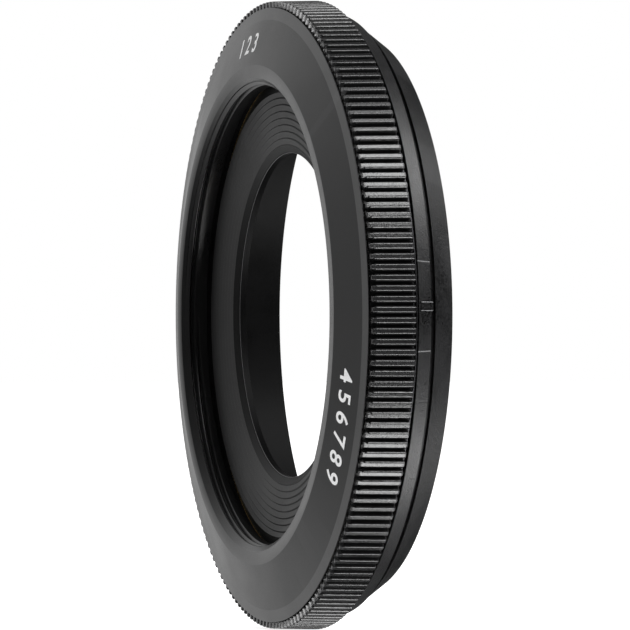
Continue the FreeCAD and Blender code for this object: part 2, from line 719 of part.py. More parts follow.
# Screws through the web, the baffle and the shim into the front ring
def front_screws():
    count = int(value(size("front_screw_count")))
    screws = []
    for index in range(count):
        label = f"front_screw_{index + 1}"
        head_top = f"({WEB_REAR} + dims.head_height)"
        tip = f"({SKIRT_REAR} - dims.tapped_depth + dims.tap_end_gap)"
        shank = "dims.tapped_radius - dims.shank_play"
        screw = turned(label, (
            ("0", tip), (shank, tip), (shank, WEB_REAR), (size("head_radius"), WEB_REAR),
            (size("head_radius"), f"{head_top} - dims.head_height / 4"),
            ("dims.head_radius * 0.8", head_top), ("0", head_top)))
        sketch = cross_plane(screw, f"{label}_cross", head_top)
        arm, half = value(size("head_radius")) * 0.6, value(size("cross_width")) / 2
        steps = ((arm, -half), (arm, half), (half, half), (half, arm), (-half, arm), (-half, half),
                 (-arm, half), (-arm, -half), (-half, -half), (-half, -arm), (half, -arm), (half, -half))
        for corner in range(12):
            start, end = steps[corner], steps[(corner + 1) % 12]
            sketch.addGeometry(Part.LineSegment(Vector(*start, 0), Vector(*end, 0)), False)
        recess = screw.newObject("PartDesign::Pocket", f"{label}_recess")
        recess.Profile = sketch
        recess.Reversed = True
        recess.setExpression("Length", size("cross_depth"))
        doc.recompute()
        angle = math.radians(value(f"dims.front_screw_angle + 360 * {index} / dims.front_screw_count"))
        circle = value(FRONT_SCREW_CIRCLE)
        place = Vector(circle * math.cos(angle), 0, circle * math.sin(angle))
        screw.Placement = Placement(place, Rotation())
        screws.append(screw)
    return compound("name_ring_screws", screws)


sub_parts = [
    front_ring(), axis_shim(), front_seal(), baffle_plate(), flare_ring(), fixed_barrel(), slide_band(),
    slide_washer(), grip_ring(), ring_carrier(), encoder_comb(), wave_spring(), index_ring(),
    index_bar("index_bar"), sensor_flex(), flex_stiffener(), stiffener_screws(), flex_contacts(),
    front_screws()]
sub_parts += [photo_interrupter(name, angle) for name, angle in sensor_angles()]
doc.recompute()

# Every object has to be sound before anything is written
for item in doc.Objects:
    if "Invalid" in item.State or "Error" in item.State:
        raise RuntimeError(f"{item.Label} failed: {item.State}")
for item in sub_parts:
    shape = item.Shape
    if shape.isNull() or not shape.isValid() or not shape.Solids:
        raise RuntimeError(f"{item.Label} has no sound solid")
    shape.exportStep(f"parts/{item.Label}.step")
    print(f"{item.Label}: {len(shape.Solids)} solids, {shape.Volume:.2f} mm3")
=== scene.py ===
import math

import bmesh
import bpy
from mathutils import Matrix, Vector


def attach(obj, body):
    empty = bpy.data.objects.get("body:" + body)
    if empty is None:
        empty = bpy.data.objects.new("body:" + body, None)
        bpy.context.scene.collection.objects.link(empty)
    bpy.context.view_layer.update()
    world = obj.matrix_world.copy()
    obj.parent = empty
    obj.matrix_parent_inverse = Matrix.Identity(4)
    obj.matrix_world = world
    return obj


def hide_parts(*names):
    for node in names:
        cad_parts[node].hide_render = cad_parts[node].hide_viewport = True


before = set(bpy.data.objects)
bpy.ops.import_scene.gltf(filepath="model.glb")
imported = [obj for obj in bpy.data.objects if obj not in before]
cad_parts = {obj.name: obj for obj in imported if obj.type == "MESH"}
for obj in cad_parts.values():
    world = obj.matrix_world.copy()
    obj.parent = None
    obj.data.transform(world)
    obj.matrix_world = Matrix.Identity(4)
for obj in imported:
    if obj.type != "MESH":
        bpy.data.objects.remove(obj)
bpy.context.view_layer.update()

MM = 0.001
DEPTH = 12.80                     # front face to rear seat
TURN = 2 * math.pi
SIDES, HOLE_SIDES = 360, 24       # columns of a turned piece and of a hole
ROUNDING, ARC_STEPS, SUPPORT = 0.04, 4, 0.03    # a corner's usual radius, its steps, support points' distance
ARC_SHARE, STRAIGHT = 0.42, 0.02  # most of a side that an arc takes, and the bend in radians that gets none
SHARP = math.radians(50)          # a cut piece is shaded smooth over edges flatter than this
HAIR = 0.01                       # slack in the tests for a face's finish
OVER = 0.5                        # how far a tool reaches past what it cuts
SCREW_CIRCLE, CLEARANCE, TAPPED = 27.525, 0.80, 0.55      # radii of the screws' circle and of their holes
SCREWS = (45, 135, 225, 315)      # degrees


# ---------------------------------------------------------------- meshes
def place(radius, depth, angle):
    """A point of the lens from its radius, its depth and its angle."""
    return (radius * math.cos(angle), depth - DEPTH, radius * math.sin(angle))


def place_aside(radius, depth, angle, aside):
    """A point at a radius and a depth, moved aside along the tangent at an angle."""
    radial = Vector((math.cos(angle), 0, math.sin(angle)))
    side = Vector((-math.sin(angle), 0, math.cos(angle)))
    return tuple(radial * radius + side * aside + Vector((0, depth - DEPTH, 0)))


def grid(columns, rows, closed=True):
    """Faces between columns of points. The rows run round; the columns do too, or else end in caps."""
    faces = []
    for j in range(columns if closed else columns - 1):
        k = (j + 1) % columns
        for i in range(rows):
            n = (i + 1) % rows
            faces.append((j * rows + i, j * rows + n, k * rows + n, k * rows + i))
    if not closed:
        faces += [tuple(range(rows)), tuple((columns - 1) * rows + i for i in range(rows))]
    return faces


def lathe(line):
    """Points and faces of a closed line turned about the axis."""
    verts = [place(r, d, TURN * j / SIDES) for j in range(SIDES) for r, d in line]
    return verts, grid(SIDES, len(line))


def inner_faces(line, reach, front=-math.inf, rear=math.inf):
    """Finish 1 for a turned piece's faces inside a radius and between two depths, and 0 for the others."""
    return [int(max(r, line[(i + 1) % len(line)][0]) < reach and front < d < rear)
            for i, (r, d) in enumerate(line)] * SIDES


def rounded(corners):
    """Turn (radius, depth, rounding) corners into a closed line with arcs and support points."""
    line = []
    for index, corner in enumerate(corners):
        here = Vector(corner[:2])
        before = Vector(corners[index - 1][:2])
        after = Vector(corners[(index + 1) % len(corners)][:2])
        arrive, leave = here - before, after - here
        size = corner[2] if len(corner) > 2 else ROUNDING
        bend = arrive.angle(leave)
        if size <= 0 or bend < STRAIGHT:
            line.append(here)
            continue
        reach = min(size * math.tan(bend / 2), ARC_SHARE * arrive.length, ARC_SHARE * leave.length)
        size = reach / math.tan(bend / 2)
        start = here - arrive.normalized() * reach
        end = here + leave.normalized() * reach
        if arrive.length > 2.5 * (reach + SUPPORT):
            line.append(start - arrive.normalized() * SUPPORT)
        side = 1 if arrive.x * leave.y - arrive.y * leave.x > 0 else -1
        inward = Vector((-arrive.y, arrive.x)).normalized() * side
        centre = start + inward * size
        spoke = start - centre
        for step in range(ARC_STEPS + 1):
            turn = side * bend * step / ARC_STEPS
            line.append(centre + Matrix.Rotation(turn, 2) @ spoke)
        if leave.length > 2.5 * (reach + SUPPORT):
            line.append(end + leave.normalized() * SUPPORT)
    return [(point.x, point.y) for point in line]


def new_object(name, verts, faces, materials=(), unit=MM):
    """A mesh object in the scene, its points given in millimetres or in another unit."""
    mesh = bpy.data.meshes.new(name)
    mesh.from_pydata([Vector(v) * unit for v in verts], [], faces)
    for material in materials:
        mesh.materials.append(material)
    obj = bpy.data.objects.new(name, mesh)
    bpy.context.scene.collection.objects.link(obj)
    return obj


def weld(obj):
    """Weld doubled points, drop empty faces and turn the faces outwards."""
    work = bmesh.new()
    work.from_mesh(obj.data)
    bmesh.ops.remove_doubles(work, verts=work.verts, dist=1e-8)
    bmesh.ops.dissolve_degenerate(work, edges=work.edges, dist=1e-9)
    bmesh.ops.recalc_face_normals(work, faces=work.faces)
    if work.calc_volume(signed=True) < 0:
        bmesh.ops.reverse_faces(work, faces=work.faces)
    work.to_mesh(obj.data)
    work.free()


def make_object(name, verts, faces, body, nodes, slot, materials, face_materials=None):
    """A smooth closed mesh that rides on a body and stands for CAD nodes."""
    obj = new_object(name, verts, faces, materials)
    if face_materials:
        obj.data.polygons.foreach_set("material_index", face_materials)
    obj.data.polygons.foreach_set("use_smooth", [True] * len(obj.data.polygons))
    weld(obj)
    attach(obj, body)
    if nodes:
        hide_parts(*nodes)
    return obj


def cutter(name, verts, faces):
    """A closed block that is taken out of another piece."""
    obj = new_object(name, verts, faces)
    weld(obj)
    return obj


def cut(obj, tools, sharp=True):
    """Take the tools' blocks out of a piece for good."""
    for tool in tools:
        change = obj.modifiers.new(tool.name, "BOOLEAN")
        change.object = tool
        change.operation = "DIFFERENCE"
        change.solver = "EXACT"
    bpy.context.view_layer.update()
    result = bpy.data.meshes.new_from_object(obj.evaluated_get(bpy.context.evaluated_depsgraph_get()))
    if sharp:
        result.set_sharp_from_angle(angle=SHARP)
    obj.modifiers.clear()
    obj.data = result
    for tool in tools:
        bpy.data.objects.remove(tool)


def axial_hole(radius, circle, centre, front, rear):
    """Points and faces of a round bar along the lens axis, for a screw hole."""
    angle = math.radians(centre)
    verts = []
    for d in (front, rear):
        for step in range(HOLE_SIDES):
            turn = TURN * step / HOLE_SIDES
            verts.append((circle * math.cos(angle) + radius * math.cos(turn), d - DEPTH,
                          circle * math.sin(angle) + radius * math.sin(turn)))
    return verts, grid(2, HOLE_SIDES, closed=False)


def screw_holes(name, radius, front, rear):
    """The tools for the four screws."""
    return [cutter(name, *axial_hole(radius, SCREW_CIRCLE, centre, front, rear)) for centre in SCREWS]


def sector(inner, outer, front, rear, centre, half, steps=24):
    """Points and faces of a block that follows the ring's arc to either side of an angle."""
    verts = []
    for step in range(steps + 1):
        angle = math.radians(centre - half + 2 * half * step / steps)
        for r, d in ((inner, front), (outer, front), (outer, rear), (inner, rear)):
            verts.append(place(r, d, angle))
    return verts, grid(steps + 1, 4, closed=False)


def window(inner, outer, half, front, rear, centre):
    """Points and faces of a straight block through the ring's wall."""
    corners = ((-half, front), (half, front), (half, rear), (-half, rear))
    verts = [place_aside(r, d, math.radians(centre), aside) for r in (inner, outer) for aside, d in corners]
    return verts, [(0, 1, 2, 3), (4, 5, 6, 7), (0, 1, 5, 4), (1, 2, 6, 5), (2, 3, 7, 6), (3, 0, 4, 7)]


# ---------------------------------------------------------------- finishes
BROAD, LATHE_LINES = 140.0, 9000.0      # per metre: the patches of every finish, the lines of a turned one
BUMP_DEPTH = 0.00005                    # metres
BLEND_LOW, BLEND_HIGH = 0.7, 1.3        # range of the grain and the patches added up
SPOTS, WORN = ((0.72, 0.0), (1.28, 1.0)), ((0.52, 0.0), (0.60, 1.0))    # ramps of patches, of worn edges


class Nodes:
    """Small helper that places and links shader nodes."""

    def __init__(self, tree):
        self.tree = tree
        tree.nodes.clear()

    def add(self, kind, inputs=None, **settings):
        node = self.tree.nodes.new(kind)
        for key, setting in settings.items():
            setattr(node, key, setting)
        for key, source in (inputs or {}).items():
            if isinstance(source, bpy.types.NodeSocket):
                self.tree.links.new(source, node.inputs[key])
            else:
                node.inputs[key].default_value = source
        return node

    def calc(self, operation, first, second):
        return self.add("ShaderNodeMath", {0: first, 1: second}, operation=operation).outputs[0]

    def mix(self, share, first, second):
        """Mix two colours; sockets 6 and 7 are the node's colour inputs."""
        return self.add("ShaderNodeMix", {"Factor": share, 6: first, 7: second}, data_type="RGBA").outputs[2]

    def noise(self, where, scale, detail, roughness=0.5):
        return self.add("ShaderNodeTexNoise", {"Vector": where, "Scale": scale, "Detail": detail,
                                               "Roughness": roughness}).outputs["Fac"]

    def ramp(self, source, stops):
        """Grey levels at positions from 0 to 1."""
        node = self.add("ShaderNodeValToRGB", {"Fac": source})
        elements = node.color_ramp.elements
        while len(elements) > len(stops):
            elements.remove(elements[-1])
        while len(elements) < len(stops):
            elements.new(0.5)
        for element, (position, value) in zip(elements, stops):
            element.position = position
            element.color = (value, value, value, 1)
        return node.outputs["Color"]

    def emitter(self, strength):
        return self.add("ShaderNodeEmission", {"Color": (1, 1, 1, 1), "Strength": strength}).outputs[0]

    def seen(self):
        """1 for what the camera sees straight, in gloss or through glass, else 0."""
        path = self.add("ShaderNodeLightPath").outputs
        straight = self.calc("MAXIMUM", path["Is Camera Ray"], path["Is Glossy Ray"])
        return self.calc("MAXIMUM", straight, path["Is Transmission Ray"])


def new_material(name):
    material = bpy.data.materials.new(name)
    material.use_nodes = True
    return material, Nodes(material.node_tree)


def surface(name, dark, light, roughness, spread, gloss, grain, bump, lines=0.0, metallic=0.0, coat=0.0,
            edge=0.0):
    """A finish with fine grain, faint lathe lines, uneven colour and gloss, and worn edges."""
    material, nodes = new_material(name)
    where = nodes.add("ShaderNodeTexCoord").outputs["Object"]
    fine = nodes.noise(where, grain, 3.0, 0.6)
    broad = nodes.noise(where, BROAD, 4.0, 0.55)
    blend = nodes.calc("ADD", fine, broad)
    base = nodes.mix(nodes.ramp(blend, SPOTS), (*dark, 1), (*light, 1))
    if edge > 0:
        worn = nodes.ramp(nodes.add("ShaderNodeNewGeometry").outputs["Pointiness"], WORN)
        worn = nodes.calc("MULTIPLY", nodes.calc("MULTIPLY", worn, broad), edge)
        bare = [min(1.0, 4 * part + 0.03) for part in light]
        base = nodes.mix(worn, base, (*bare, 1))
    rough = nodes.add("ShaderNodeMapRange", {"Value": blend, "From Min": BLEND_LOW, "From Max": BLEND_HIGH,
                                             "To Min": roughness - spread,
                                             "To Max": roughness + spread}).outputs["Result"]
    height = fine
    if lines > 0:
        parts = nodes.add("ShaderNodeSeparateXYZ", {"Vector": where}).outputs
        flat = nodes.add("ShaderNodeCombineXYZ", {"X": parts["X"], "Y": parts["Z"]}).outputs[0]
        radius = nodes.add("ShaderNodeVectorMath", {0: flat}, operation="LENGTH").outputs["Value"]
        ring = nodes.add("ShaderNodeCombineXYZ", {"X": radius, "Y": parts["Y"]}).outputs[0]
        height = nodes.calc("ADD", fine, nodes.calc("MULTIPLY", nodes.noise(ring, LATHE_LINES, 2.0), lines))
    relief = nodes.add("ShaderNodeBump", {"Height": height, "Strength": bump, "Distance": BUMP_DEPTH})
    shader = nodes.add("ShaderNodeBsdfPrincipled", {
        "Base Color": base, "Roughness": rough, "Normal": relief.outputs["Normal"],
        "Metallic": metallic, "Specular IOR Level": gloss, "Coat Weight": coat})
    nodes.add("ShaderNodeOutputMaterial", {"Surface": shader.outputs["BSDF"]})
    return material


def neutral(name, dark, light, *finish, **extras):
    """A finish between two greys that lean a little to blue."""
    dark, light = ((value, value, value * 1.04) for value in (dark, light))
    return surface(name, dark, light, *finish, **extras)


# Dark and light tone, roughness and how far it strays, gloss, grains per metre, strength of the relief
bevel_black = neutral("bevel_anodised", 0.005, 0.009, 0.40, 0.05, 0.36, 9000, 0.10, lines=0.3, edge=0.25)
satin = neutral("satin_anodised", 0.005, 0.010, 0.38, 0.05, 0.50, 9000, 0.10, lines=0.3, edge=0.25)
blasted = neutral("blasted_anodised", 0.002, 0.012, 0.35, 0.09, 0.44, 4300, 0.75, edge=0.40)
ribbed = neutral("milled_ribs", 0.002, 0.010, 0.24, 0.07, 0.56, 4800, 0.45, edge=0.75)
# Darker and less glossy than the ribs: painted shade for the slots and the low flanks
slot_painted_shade = neutral("rib_slots_painted_shade", 0.002, 0.005, 0.42, 0.07, 0.14, 4800, 0.40)
barrel_paint = neutral("barrel_anodised", 0.002, 0.011, 0.36, 0.09, 0.22, 4300, 0.75, edge=0.20)
inner_black = neutral("inner_wall", 0.001, 0.003, 0.46, 0.05, 0.05, 5000, 0.10)
thread_black = neutral("thread_anodised", 0.003, 0.007, 0.32, 0.05, 0.36, 9000, 0.15, edge=0.2)
baffle_black = neutral("baffle_plastic", 0.007, 0.012, 0.52, 0.06, 0.40, 5200, 0.14)
lip_black = neutral("lip_plastic", 0.004, 0.007, 0.50, 0.05, 0.20, 6000, 0.12)
flare_black = neutral("flare_plastic", 0.001, 0.003, 0.44, 0.05, 0.05, 6000, 0.10)
# Lighter grey: a painted highlight on the flare ring's edge at the seam
seam_painted_highlight = neutral("seam_painted_highlight", 0.05, 0.09, 0.35, 0.05, 0.50, 6000, 0.10)
# Lighter grey: painted highlights along the index bar's two rounded edges
bar_edge_painted_highlight = neutral("bar_edge_painted_highlight", 0.10, 0.17, 0.35, 0.05, 0.50, 6000, 0.15)
carrier_black = neutral("carrier_plastic", 0.010, 0.018, 0.48, 0.06, 0.45, 3500, 0.30)
sensor_black = neutral("sensor_plastic", 0.010, 0.018, 0.28, 0.05, 0.50, 5000, 0.15)
rubber = neutral("seal_rubber", 0.012, 0.022, 0.62, 0.06, 0.35, 4500, 0.40)
screw_black = neutral("screw_oxide", 0.012, 0.028, 0.34, 0.07, 0.5, 6000, 0.25, lines=0.4, edge=0.5)
slippery = surface("low_friction", (0.42, 0.40, 0.36), (0.50, 0.48, 0.44), 0.45, 0.06, 0.40, 2500, 0.20)
spring_metal = surface("spring_steel", (0.020, 0.020, 0.022), (0.045, 0.045, 0.048), 0.42, 0.05, 0.3, 6000,
                       0.15, lines=0.6, metallic=0.6)
plate_metal = surface("stiffener_steel", (0.45, 0.45, 0.44), (0.58, 0.58, 0.57), 0.30, 0.06, 0.5, 5000,
                      0.25, lines=0.5, metallic=1.0)
brass = surface("shim_brass", (0.60, 0.42, 0.18), (0.72, 0.52, 0.24), 0.28, 0.06, 0.5, 5000,
                0.20, lines=0.5, metallic=1.0)
gold = surface("contact_gold", (0.80, 0.58, 0.22), (0.90, 0.68, 0.30), 0.22, 0.04, 0.5, 6000,
               0.10, metallic=1.0)
amber = surface("flex_film", (0.42, 0.16, 0.03), (0.55, 0.24, 0.05), 0.26, 0.05, 0.5, 3000, 0.12, coat=0.4)
white_paint = surface("marking_paint", (0.80, 0.80, 0.80), (0.90, 0.90, 0.90), 0.50, 0.05, 0.4, 6000, 0.12)
# Lighter grey: painted highlights on the floors of the index cone's two scribed lines
scribe_painted_highlight = surface("scribed_line_painted_highlight", (0.13, 0.13, 0.133), (0.19, 0.19, 0.194), 0.45, 0.06, 0.5, 7000, 0.3)


# ---------------------------------------------------------------- front ring with its thread
LAND_BORE, LAND, BEVEL, BAND = 26.38, 27.81, 32.83, 34.20
BEVEL_DROP, BAND_DROP, PLATE_REAR = 1.57, 1.82, 1.95
SKIRT, SEAL_FLOOR, SEAL_FRONT, SEAL_REAR, SKIRT_REAR = 28.95, 28.45, 2.75, 3.35, 3.80
RELIEF, CREST, ROOT = 26.60, 25.60, 26.00
ENTRY, THREAD_FRONT, THREAD_REAR, PITCH = 0.70, 0.03, 2.80, 0.75
GROOVE_AT = 1.06                        # depth of a groove's root on the far left
GROOVES = range(-2, 5)                  # the groove's turns, counted from that one
GROOVES_END = 1                         # the turn that fades out on the far left
FADE = 22 / 360                         # the share of a turn in which it fades
GROOVE_HALF, GROOVE_FLANK = 0.31, 0.26  # half its width at the crest, and the width of one flank
GROOVE_STEPS = (0.0, 0.05, 0.07, 0.15, 0.23, 0.30, 0.32, 0.345, 0.375)      # rows from a root to mid-crest
RING_SIDES = 660
TAPPED_DEPTH = 1.40


def groove_radius(depth, angle):
    """Radius of the threaded wall: crest, grooves that fade out at their end, and the entry cone."""
    along = (depth - GROOVE_AT) / PITCH + (angle - math.pi) / TURN
    nearest = round(along)
    off = abs(along - nearest) * PITCH
    left = GROOVES_END - (nearest - (angle - math.pi) / TURN)
    fade = min(1.0, max(0.0, left / FADE))
    height = ROOT - CREST
    slope = height / GROOVE_FLANK
    groove = CREST + max(0.0, min(height, (GROOVE_HALF - off) * slope) - (1 - fade) * height)
    cone = LAND_BORE - (LAND_BORE - CREST) * depth / ENTRY
    return max(groove, cone, CREST)


def front_ring():
    """A turned outline joined to the threaded wall, whose rows of points climb with the groove."""
    outer = rounded([
        (LAND_BORE, 0, 0), (LAND, 0, 0.10), (BEVEL, BEVEL_DROP, 0.05), (BAND, BAND_DROP, 0.05),
        (BAND - 0.06, PLATE_REAR, 0.03), (SKIRT, PLATE_REAR, 0.03), (SKIRT, SEAL_FRONT, 0.03),
        (SEAL_FLOOR, SEAL_FRONT, 0.03), (SEAL_FLOOR, SEAL_REAR, 0.03), (SKIRT, SEAL_REAR, 0.03),
        (SKIRT, SKIRT_REAR, 0.05), (RELIEF, SKIRT_REAR, 0.03), (RELIEF, THREAD_REAR, 0)])
    steps = [-step for step in reversed(GROOVE_STEPS[1:])] + list(GROOVE_STEPS[:-1])
    levels = [GROOVE_AT + PITCH * turn + step for turn in GROOVES for step in steps]
    verts, faces, columns = [], [], []
    for j in range(RING_SIDES):
        angle = TURN * j / RING_SIDES
        column = []
        for r, d in outer:
            column.append(len(verts))
            verts.append(place(r, d, angle))
        wall, last = [], -math.inf
        for level in levels:
            d = min(THREAD_REAR, max(THREAD_FRONT, level - PITCH * (angle - math.pi) / TURN))
            if d - last > 1e-6:
                wall.append(len(verts))
                verts.append(place(groove_radius(d, angle), d, angle))
                last = d
            else:
                wall.append(wall[-1])
        columns.append((column, wall))

    def add(*corners):
        kept = []
        for corner in corners:
            if corner not in kept:
                kept.append(corner)
        if len(kept) > 2:
            faces.append(tuple(kept))

    top = len(levels) - 1
    for j in range(RING_SIDES):
        (column, wall), (next_column, next_wall) = columns[j], columns[(j + 1) % RING_SIDES]
        for i in range(len(outer) - 1):
            add(column[i], column[i + 1], next_column[i + 1], next_column[i])
        add(column[-1], wall[-1], next_wall[-1], next_column[-1])
        add(wall[0], column[0], next_column[0], next_wall[0])
        shift = len(steps) if j == RING_SIDES - 1 else 0      # the last column meets the first one a turn on
        for i in range(-shift, top + shift):
            a, b = min(top, max(0, i)), min(top, max(0, i + 1))
            c, e = min(top, max(0, i - shift)), min(top, max(0, i + 1 - shift))
            add(wall[a], next_wall[c], next_wall[e], wall[b])
    kinds = []
    for face in faces:
        reach = [math.hypot(verts[v][0], verts[v][2]) for v in face]
        rear = max(verts[v][1] + DEPTH for v in face)
        if max(reach) < LAND_BORE + HAIR and rear < SKIRT_REAR - HAIR:
            kinds.append(1)
        elif min(reach) > LAND - HAIR and max(reach) < BEVEL + HAIR and rear < BEVEL_DROP + HAIR:
            kinds.append(2)
        else:
            kinds.append(0)
    ring = make_object("front_ring", verts, faces, "barrel", ["name_ring"], "anodised_black",
                       [satin, thread_black, bevel_black], kinds)
    # Sharp edges marked on this piece would show as streaks on the bevel
    cut(ring, screw_holes("cut_tapped", TAPPED, SKIRT_REAR - TAPPED_DEPTH, SKIRT_REAR + OVER), sharp=False)


front_ring()

NUMBER_RADIUS, NUMBER_SIZE, NUMBER_RISE, NUMBER_BOLD = 30.3, 3.1, 0.022, 0.045


def bevel_numbers(name, text, middle):
    """Plain numbers inked on the bevel, read clockwise with their tops outwards."""
    curve = bpy.data.curves.new(name, "FONT")
    curve.body = text
    curve.align_x, curve.align_y = "CENTER", "CENTER"
    curve.size, curve.extrude, curve.offset, curve.resolution_u = NUMBER_SIZE, NUMBER_RISE, NUMBER_BOLD, 6
    holder = bpy.data.objects.new(name, curve)
    bpy.context.scene.collection.objects.link(holder)
    bpy.context.view_layer.update()
    flat = bpy.data.meshes.new_from_object(holder.evaluated_get(bpy.context.evaluated_depsgraph_get()))
    slope = math.atan2(BEVEL_DROP, BEVEL - LAND)
    verts = []
    for vert in flat.vertices:
        along, up, rise = vert.co
        radius = NUMBER_RADIUS + up * math.cos(slope)
        depth = BEVEL_DROP * (radius - LAND) / (BEVEL - LAND)
        verts.append(place(radius + rise * math.sin(slope), depth - rise * math.cos(slope),
                           math.radians(middle) - along / NUMBER_RADIUS))
    faces = [tuple(face.vertices) for face in flat.polygons]
    bpy.data.objects.remove(holder)
    obj = make_object(name, verts, faces, "barrel", [], "anodised_black", [white_paint])
    obj.data.polygons.foreach_set("use_smooth", [False] * len(obj.data.polygons))


bevel_numbers("numbers_top", "1 2 3", 98)
bevel_numbers("numbers_side", "4 5 6 7 8 9", -24)


# ---------------------------------------------------------------- baffle and flare ring
DISC, DISC_INNER, DISC_FRONT, DISC_RISE = 24.83, 18.87, 3.02, 0.69
RIDGES, RIDGE_HEIGHT, RIDGE_FLANK = 8, 0.13, 0.8      # the last is the long flank's share of a ridge
LIP, LIP_REAR, FLARE, FLARE_REAR, FLARE_SEAT, BOSS = 18.10, 4.27, 18.12, 5.05, 18.98, 19.78
LIP_FRONT = 3.6                         # the lip's finish begins behind this depth
SEAM_HIGHLIGHT, SEAM_STEP, FLARE_PLAY = 0.045, 0.06, 0.02       # how far back the painted highlight at the seam reaches, its step, and the ring's play
FLANGE, FLANGE_FRONT, FLANGE_REAR = 28.85, 3.90, 4.50


def baffle():
    """A shallow ridged dish with a lip round the bore and a flange for the screws."""
    corners = [(FLANGE, FLANGE_REAR), (FLANGE, FLANGE_FRONT), (DISC, FLANGE_FRONT)]
    width = (DISC - DISC_INNER) / RIDGES
    for ridge in range(RIDGES):
        corners.append((DISC - width * ridge, DISC_FRONT + DISC_RISE * ridge / RIDGES, 0.06))
        corners.append((DISC - width * (ridge + RIDGE_FLANK),
                        DISC_FRONT + DISC_RISE * (ridge + 1) / RIDGES + RIDGE_HEIGHT, 0.05))
    corners += [(DISC_INNER, DISC_FRONT + DISC_RISE, 0.08), (LIP, LIP_REAR, 0.03),
                (FLARE_SEAT, LIP_REAR, 0.02), (FLARE_SEAT, FLARE_REAR, 0.02), (BOSS, FLARE_REAR, 0.05),
                (BOSS, FLANGE_REAR, 0.03)]
    line = rounded(corners)
    obj = make_object("baffle", *lathe(line), "barrel", ["baffle_plate"], "baffle_black",
                      [baffle_black, lip_black], inner_faces(line, DISC_INNER + 0.03, front=LIP_FRONT))
    cut(obj, screw_holes("cut_flange", CLEARANCE, FLANGE_FRONT - OVER, FLANGE_REAR + OVER))


def flare():
    """The ring behind the lip, with a painted highlight on its edge at the seam between them."""
    seat = FLARE_SEAT - FLARE_PLAY
    line = rounded([(LIP - SEAM_STEP, LIP_REAR, 0.05), (seat, LIP_REAR, 0.02), (seat, FLARE_REAR, 0.03),
                    (FLARE, FLARE_REAR, 0.05)])
    # Faces inside the lip and close to the seam take the painted highlight
    make_object("flare", *lathe(line), "barrel", ["flare_ring"], "baffle_black", [flare_black, seam_painted_highlight],
                inner_faces(line, LIP + HAIR, rear=LIP_REAR + SEAM_HIGHLIGHT))


baffle()
flare()


# ---------------------------------------------------------------- ribbed grip
RIBS, RIB_CREST, GRIP_BORE, GRIP_FACE = 188, 35.00, 32.90, 34.00
GRIP_FRONT, GRIP_REAR, GRIP_EDGE = 2.15, 7.10, 0.04
NOTCH = 34.20                           # radius of the slots' floor
SLOT, SLOT_FLOOR, FLANK = 0.135, 0.131, 0.345   # half widths of a slot, its floor, and a slot with its flanks
FLANK_LOW, FLANK_MIDDLE = 0.25, (0.25, 0.112)   # depth of a flank at the slot, and a point halfway up it
SHOULDER, SHOULDER_TILTS, SHOULDER_SET = 0.13, (50, 38, 24, 11, 0), 0.46
CREST_FLAT = 0.12
SHADE_REACH = 0.245                            # half width of the painted shade: a darker, duller finish in the slots and low on the flanks
FREE = 0.333                            # half width of the gaps between the free noses
BOTTOM = 9.0                            # deeper than any slot, so the slots' floor holds

# Depth, radius of the crest, and whether the flanks are filled in there or cut down to the slots' floor
RIB_PROFILE = (
    (2.05, NOTCH, False), (2.04, 34.78, False), (2.045, 34.83, False), (2.06, 34.865, False),
    (2.085, 34.882, False), (2.12, 34.886, False), (2.30, 34.89, False), (2.51, 34.90, False),
    (2.53, 34.90, True), (2.56, 34.903, True), (2.70, 34.907, True), (4.60, 34.95, True),
    (6.78, 35.00, True), (6.97, 34.998, True), (7.00, 34.99, True), (7.02, 34.975, False),
    (7.05, 34.94, False), (7.08, 34.87, False), (7.10, 34.76, False), (7.10, NOTCH, False))


def grip():
    """Ribs with sloping flanks and narrow slots between them, their noses free in front of the flanks."""
    pitch = TURN * RIB_CREST / RIBS
    section = [(0.0, BOTTOM), (SLOT_FLOOR, BOTTOM), (SLOT, FLANK_LOW), FLANK_MIDDLE]
    for tilt in SHOULDER_TILTS:
        tilt = math.radians(tilt)
        section.append((FLANK + SHOULDER * (SHOULDER_SET - math.sin(tilt)), SHOULDER * (1 - math.cos(tilt))))
    section.append((FLANK + CREST_FLAT, 0.0))
    section += [(pitch - s, below) for s, below in reversed(section[1:])]
    bore = [(GRIP_BORE, GRIP_REAR - GRIP_EDGE), (GRIP_BORE, GRIP_FRONT + GRIP_EDGE),
            (GRIP_BORE + GRIP_EDGE, GRIP_FRONT), (GRIP_FACE, GRIP_FRONT)]
    verts = []
    for rib in range(RIBS):
        for s, below in section:
            angle = (rib * pitch + s) / RIB_CREST
            gap = min(s, pitch - s) < FREE
            verts += [place(r, d, angle) for r, d in bore]
            for d, r, filled in RIB_PROFILE:
                verts.append(place(max(NOTCH, r - below) if filled or not gap else NOTCH, d, angle))
            verts.append(place(GRIP_BORE + GRIP_EDGE, GRIP_REAR, angle))
    count, rows = RIBS * len(section), len(bore) + len(RIB_PROFILE) + 1
    kinds = []
    for j in range(count):
        here, there = section[j % len(section)][0], section[(j + 1) % len(section)][0] or pitch
        middle = (here + there) / 2
        # Faces in the slots and low on the flanks take the darker finish, painted shade
        in_shade = min(middle, pitch - middle) < SHADE_REACH
        kinds += [int(in_shade and len(bore) <= i < rows - 2) for i in range(rows)]
    make_object("ribbed_grip", verts, grid(count, rows), "control_ring", ["grip_ring"], "grip_black",
                [ribbed, slot_painted_shade], kinds)


grip()


